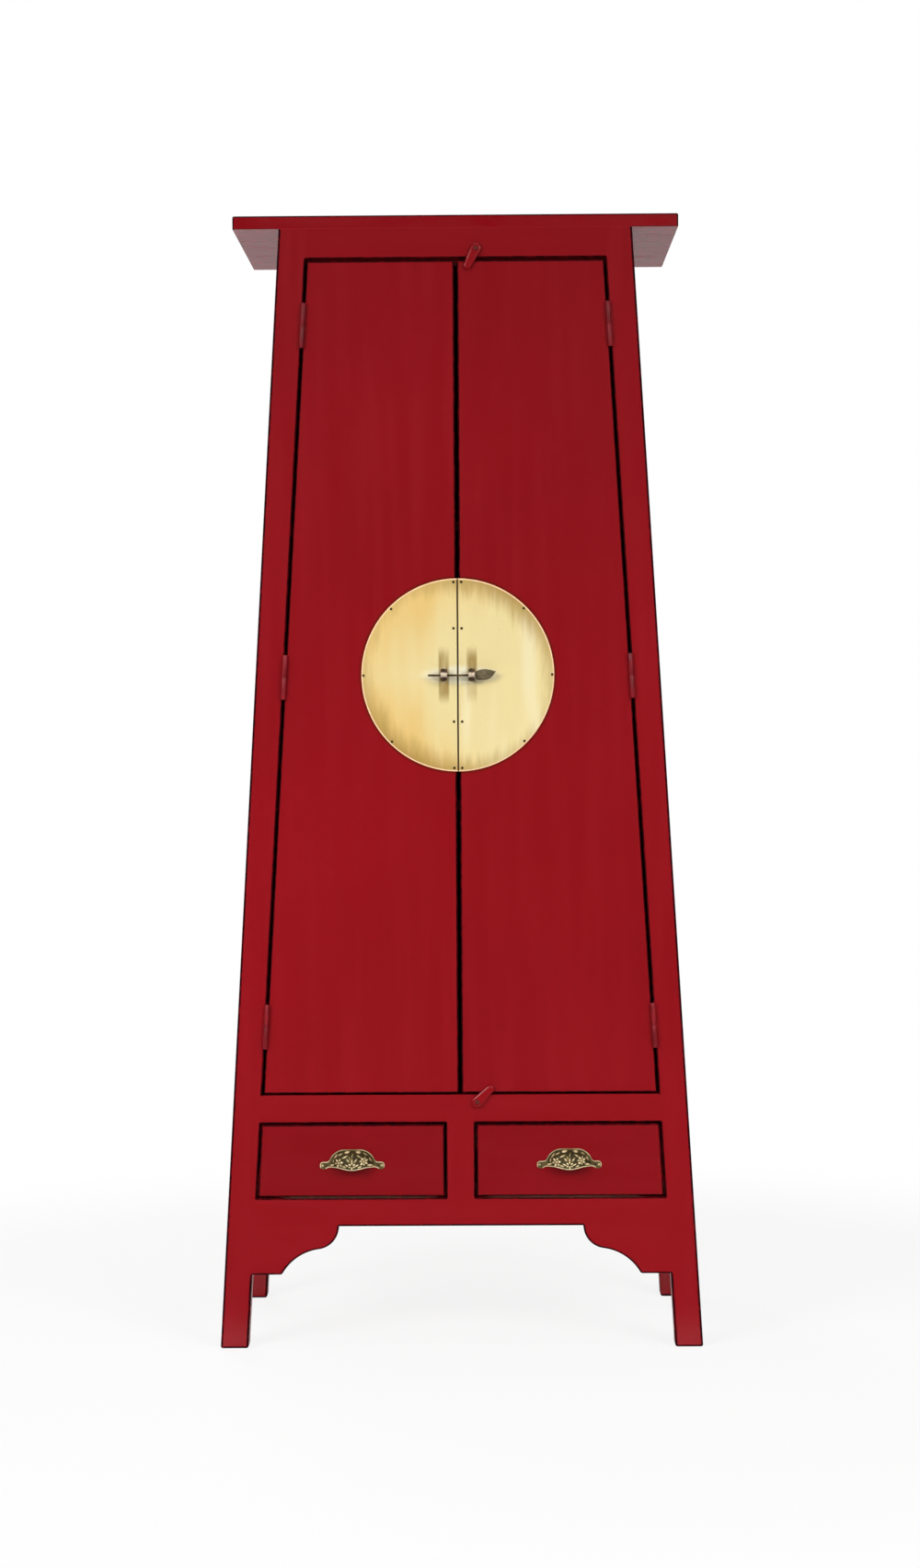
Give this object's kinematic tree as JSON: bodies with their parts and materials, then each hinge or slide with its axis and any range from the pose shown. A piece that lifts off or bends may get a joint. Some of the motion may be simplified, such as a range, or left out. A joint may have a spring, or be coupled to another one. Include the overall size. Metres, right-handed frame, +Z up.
{
  "type": "chinese wedding cabinet",
  "caption": "Tall tapered red lacquer cabinet with a wide top board, tall doors with a round brass plate and pin latch, drawers with cup pulls, and ogee brackets.",
  "frame": {"origin": "on the floor, under the middle of the box that the whole cabinet fills", "axes": "+Z up, -Y out of the front with the doors, +X to the right seen from the front"},
  "size_m": [0.814, 0.4748, 1.9],
  "materials": {
    "red_lacquer": "satin red lacquer, dark worn edges",
    "inner_wood": "matt oiled softwood",
    "plate_brass": "brushed and lightly aged",
    "antique_bronze": "antiqued casting, bright on the high spots",
    "dark_bronze": "dark patina",
    "painted_hinge_metal": "steel painted over in red",
    "steel": "plain steel"
  },
  "bodies": {
    "root": {"apron_bracket_left": "red_lacquer", "apron_bracket_right": "red_lacquer", "back_lower_rail": "red_lacquer", "back_middle_rail": "red_lacquer", "back_panel": "inner_wood", "back_top_rail": "red_lacquer", "cupboard_floor": "red_lacquer", "door_stop": "red_lacquer", "drawer_divider": "red_lacquer", "drawer_runner_centre": "inner_wood", "drawer_runner_left": "inner_wood", "drawer_runner_right": "inner_wood", "floor_bearer_left": "inner_wood", "floor_bearer_right": "inner_wood", "front_leg_left": "red_lacquer", "front_leg_right": "red_lacquer", "hinge_frame_leaves": "painted_hinge_metal", "hinge_pins": "painted_hinge_metal", "lower_rail": "red_lacquer", "lower_shelf": "red_lacquer", "middle_rail": "red_lacquer", "rear_leg_left": "red_lacquer", "rear_leg_right": "red_lacquer", "shelf_cleats": "inner_wood", "side_lower_rail_left": "red_lacquer", "side_lower_rail_right": "red_lacquer", "side_panel_left": "red_lacquer", "side_panel_right": "red_lacquer", "side_top_rail_left": "red_lacquer", "side_top_rail_right": "red_lacquer", "top_board": "red_lacquer", "top_rail": "red_lacquer", "turn_button_screws": "painted_hinge_metal", "upper_shelf": "red_lacquer"},
    "drawer_left": {"cup_pull_left": "antique_bronze", "drawer_back_left": "inner_wood", "drawer_bottom_left": "inner_wood", "drawer_front_left": "red_lacquer", "drawer_sides_left": "inner_wood"},
    "drawer_right": {"cup_pull_right": "antique_bronze", "drawer_back_right": "inner_wood", "drawer_bottom_right": "inner_wood", "drawer_front_right": "red_lacquer", "drawer_sides_right": "inner_wood"},
    "door_left": {"door_battens_left": "red_lacquer", "door_hinge_leaves_left": "painted_hinge_metal", "door_panel_left": "red_lacquer", "face_plate_left": "plate_brass", "latch_eye_left": "dark_bronze", "latch_eye_nut_left": "steel"},
    "door_right": {"door_battens_right": "red_lacquer", "door_hinge_leaves_right": "painted_hinge_metal", "door_panel_right": "red_lacquer", "face_plate_right": "plate_brass", "latch_eye_nut_right": "steel", "latch_eye_right": "dark_bronze"},
    "latch_pin": {"latch_pin": "dark_bronze"},
    "turn_button_foot": {"turn_button_foot": "red_lacquer"},
    "turn_button_top": {"turn_button_top": "red_lacquer"}
  },
  "joints": [
    {"name": "door_left_hinge", "type": "hinge", "parent": "root", "child": "door_left", "pos_m": [-0.29068, -0.217, 1.13045], "axis": [-0.0595, 0, -0.9982], "range_deg": [0, 170]},
    {"name": "door_right_hinge", "type": "hinge", "parent": "root", "child": "door_right", "pos_m": [0.29068, -0.217, 1.13045], "axis": [-0.0595, 0, 0.9982], "range_deg": [0, 170]},
    {"name": "latch_pin_slide", "type": "slide", "parent": "door_right", "child": "latch_pin", "axis": [1, 0, 0], "range_m": [0, 0.06]},
    {"name": "top_button_turn", "type": "hinge", "parent": "root", "child": "turn_button_top", "pos_m": [0.034, -0.2169, 1.843], "axis": [0, 1, 0], "continuous": true},
    {"name": "foot_button_turn", "type": "hinge", "parent": "root", "child": "turn_button_foot", "pos_m": [0.0285, -0.2169, 0.416], "axis": [0, 1, 0], "continuous": true},
    {"name": "drawer_left_slide", "type": "slide", "parent": "root", "child": "drawer_left", "axis": [0, -1, 0], "range_m": [0, 0.3]},
    {"name": "drawer_right_slide", "type": "slide", "parent": "root", "child": "drawer_right", "axis": [0, -1, 0], "range_m": [0, 0.3]}
  ]
}
